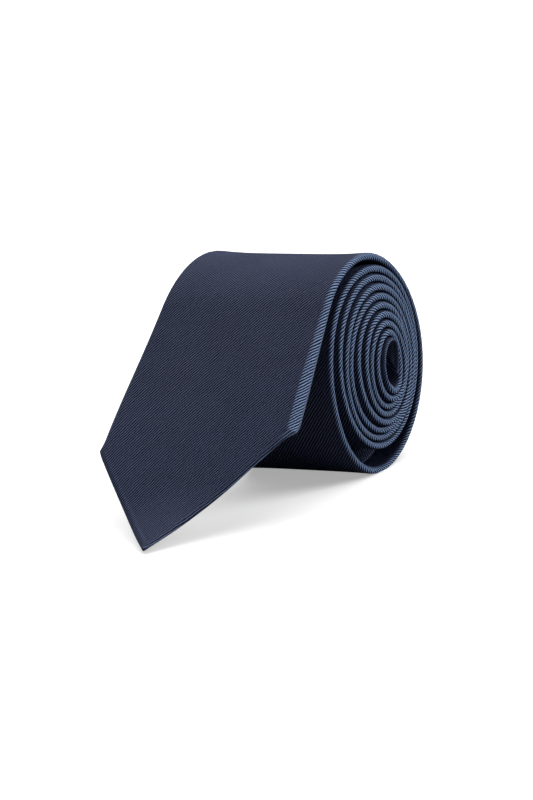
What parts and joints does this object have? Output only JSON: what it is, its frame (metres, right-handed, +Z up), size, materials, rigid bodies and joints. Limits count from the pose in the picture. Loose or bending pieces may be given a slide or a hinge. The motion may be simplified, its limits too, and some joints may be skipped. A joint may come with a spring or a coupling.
{
  "type": "necktie",
  "caption": "Pointed silk twill necktie rolled up from its narrow tail, standing on the roll with the wide blade sloping down in front.",
  "frame": {"origin": "centre of the flattened underside of the roll, on the surface it rests on", "axes": "+X along the roll's axis towards the end with flush folds, +Y away from the hanging blade, +Z up"},
  "size_m": [0.0788, 0.1599, 0.0859],
  "materials": {
    "silk_twill": "fine diagonal silk twill, soft sheen, steel-blue highlights on the ribs",
    "tipping_twill": "same twill, a little flatter",
    "wool_interlining": "napped plain weave, matte",
    "sewing_thread": "twisted thread",
    "label_satin": "woven satin, plain",
    "care_tape": "plain woven tape"
  },
  "bodies": {
    "coil": {"blade_panel_rolled": "silk_twill", "neck_panel": "silk_twill", "interlining_rolled": "wool_interlining", "slip_stitch_rolled": "sewing_thread", "neck_seam_thread": "sewing_thread", "keeper_loop": "silk_twill", "keeper_stitches": "sewing_thread", "maker_label": "label_satin", "care_label": "care_tape", "label_stitches": "sewing_thread"},
    "outer_turn": {"blade_panel_outer_turn": "silk_twill", "interlining_outer_turn": "wool_interlining", "slip_stitch_outer_turn": "sewing_thread"},
    "blade": {"blade_panel_hanging": "silk_twill", "interlining_hanging": "wool_interlining", "blade_tipping_upper": "tipping_twill", "bar_tack_blade": "sewing_thread", "slip_stitch_hanging": "sewing_thread"},
    "blade_point": {"blade_panel_point": "silk_twill", "interlining_point": "wool_interlining", "blade_tipping_point": "tipping_twill"},
    "core": {"tail_panel": "silk_twill", "interlining_tail": "wool_interlining", "tail_tipping": "tipping_twill", "bar_tack_tail": "sewing_thread", "slip_stitch_tail": "sewing_thread", "tail_seam_thread": "sewing_thread"}
  },
  "joints": [
    {"name": "outer_turn_peel", "type": "hinge", "parent": "coil", "child": "outer_turn", "pos_m": [-0.00303, 0.03916, 0.0428], "axis": [-1, 0, 0], "range_deg": [0, 30]},
    {"name": "blade_lift", "type": "hinge", "parent": "outer_turn", "child": "blade", "pos_m": [-0.00613, -0.01861, 0.08137], "axis": [-1, -0.0054, -0.0028], "range_deg": [0, 60]},
    {"name": "blade_point_curl", "type": "hinge", "parent": "blade", "child": "blade_point", "pos_m": [-0.00552, -0.07794, 0.029], "axis": [-0.9817, -0.1656, -0.0942], "range_deg": [0, 40]},
    {"name": "core_push", "type": "slide", "parent": "coil", "child": "core", "axis": [1, 0, 0], "range_m": [-0.01, 0.012]}
  ]
}
